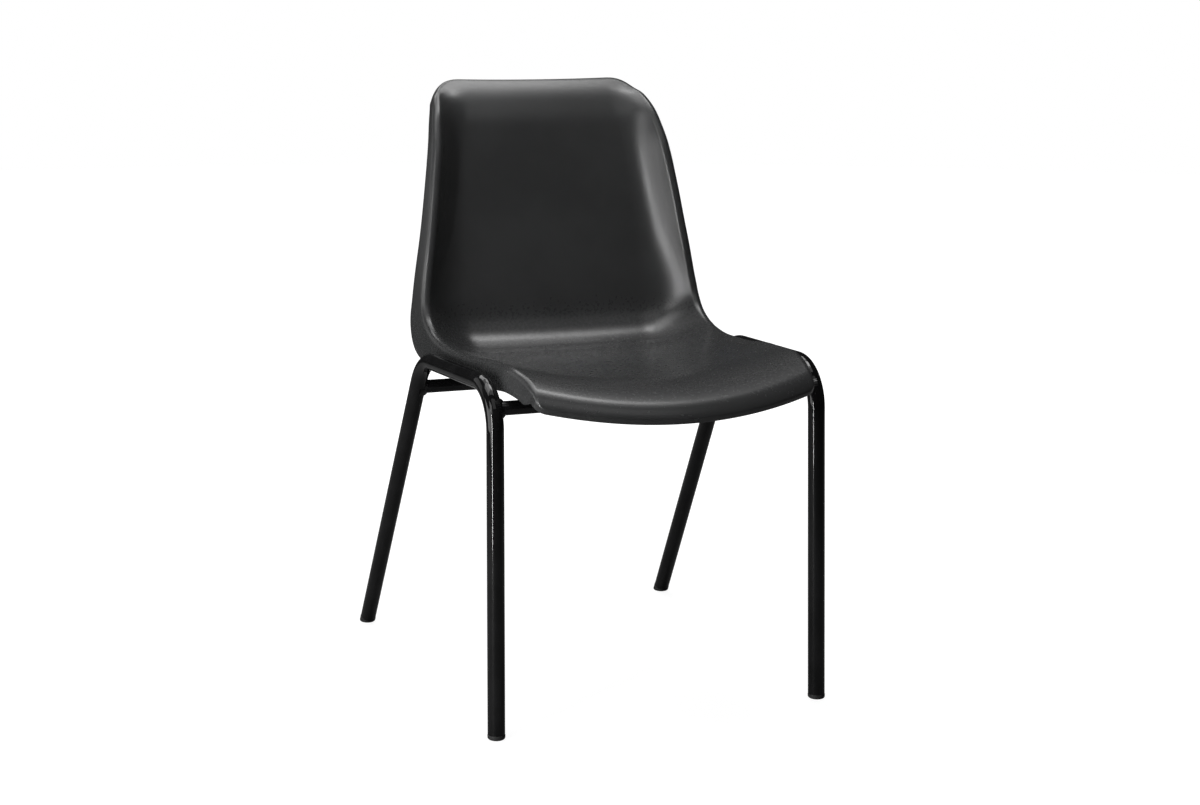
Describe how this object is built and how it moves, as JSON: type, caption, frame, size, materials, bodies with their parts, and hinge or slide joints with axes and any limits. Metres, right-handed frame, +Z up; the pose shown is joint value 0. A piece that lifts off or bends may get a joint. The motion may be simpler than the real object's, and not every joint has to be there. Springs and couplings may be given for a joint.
{
  "type": "choir chair",
  "caption": "Choir chair: dark grey moulded plastic shell seat and back in one piece, on a black frame of bent round steel tube with raked rear legs and plastic feet.",
  "frame": {"origin": "on the floor under the middle of the chair's bounding box", "axes": "+Z up, -Y the way a sitter faces, +X the sitter's left; left and right in the node names are as seen from the front"},
  "size_m": [0.5002, 0.6146, 0.7965],
  "materials": {
    "shell_plastic": "fine grain, satin",
    "frame_paint": "gloss powder coat",
    "foot_plastic": "moulded, satin",
    "zinc_steel": "zinc plated",
    "brass": "plain"
  },
  "bodies": {
    "root": {"shell": "shell_plastic", "left_side_tube": "frame_paint", "right_side_tube": "frame_paint", "front_crossbar": "frame_paint", "rear_crossbar": "frame_paint", "front_left_weld": "frame_paint", "front_right_weld": "frame_paint", "rear_left_weld": "frame_paint", "rear_right_weld": "frame_paint", "front_left_tab": "frame_paint", "front_right_tab": "frame_paint", "rear_left_tab": "frame_paint", "rear_right_tab": "frame_paint", "threaded_inserts": "brass", "screws": "zinc_steel", "washers": "zinc_steel", "front_left_foot": "foot_plastic", "front_right_foot": "foot_plastic", "rear_left_foot": "foot_plastic", "rear_right_foot": "foot_plastic"}
  },
  "joints": []
}
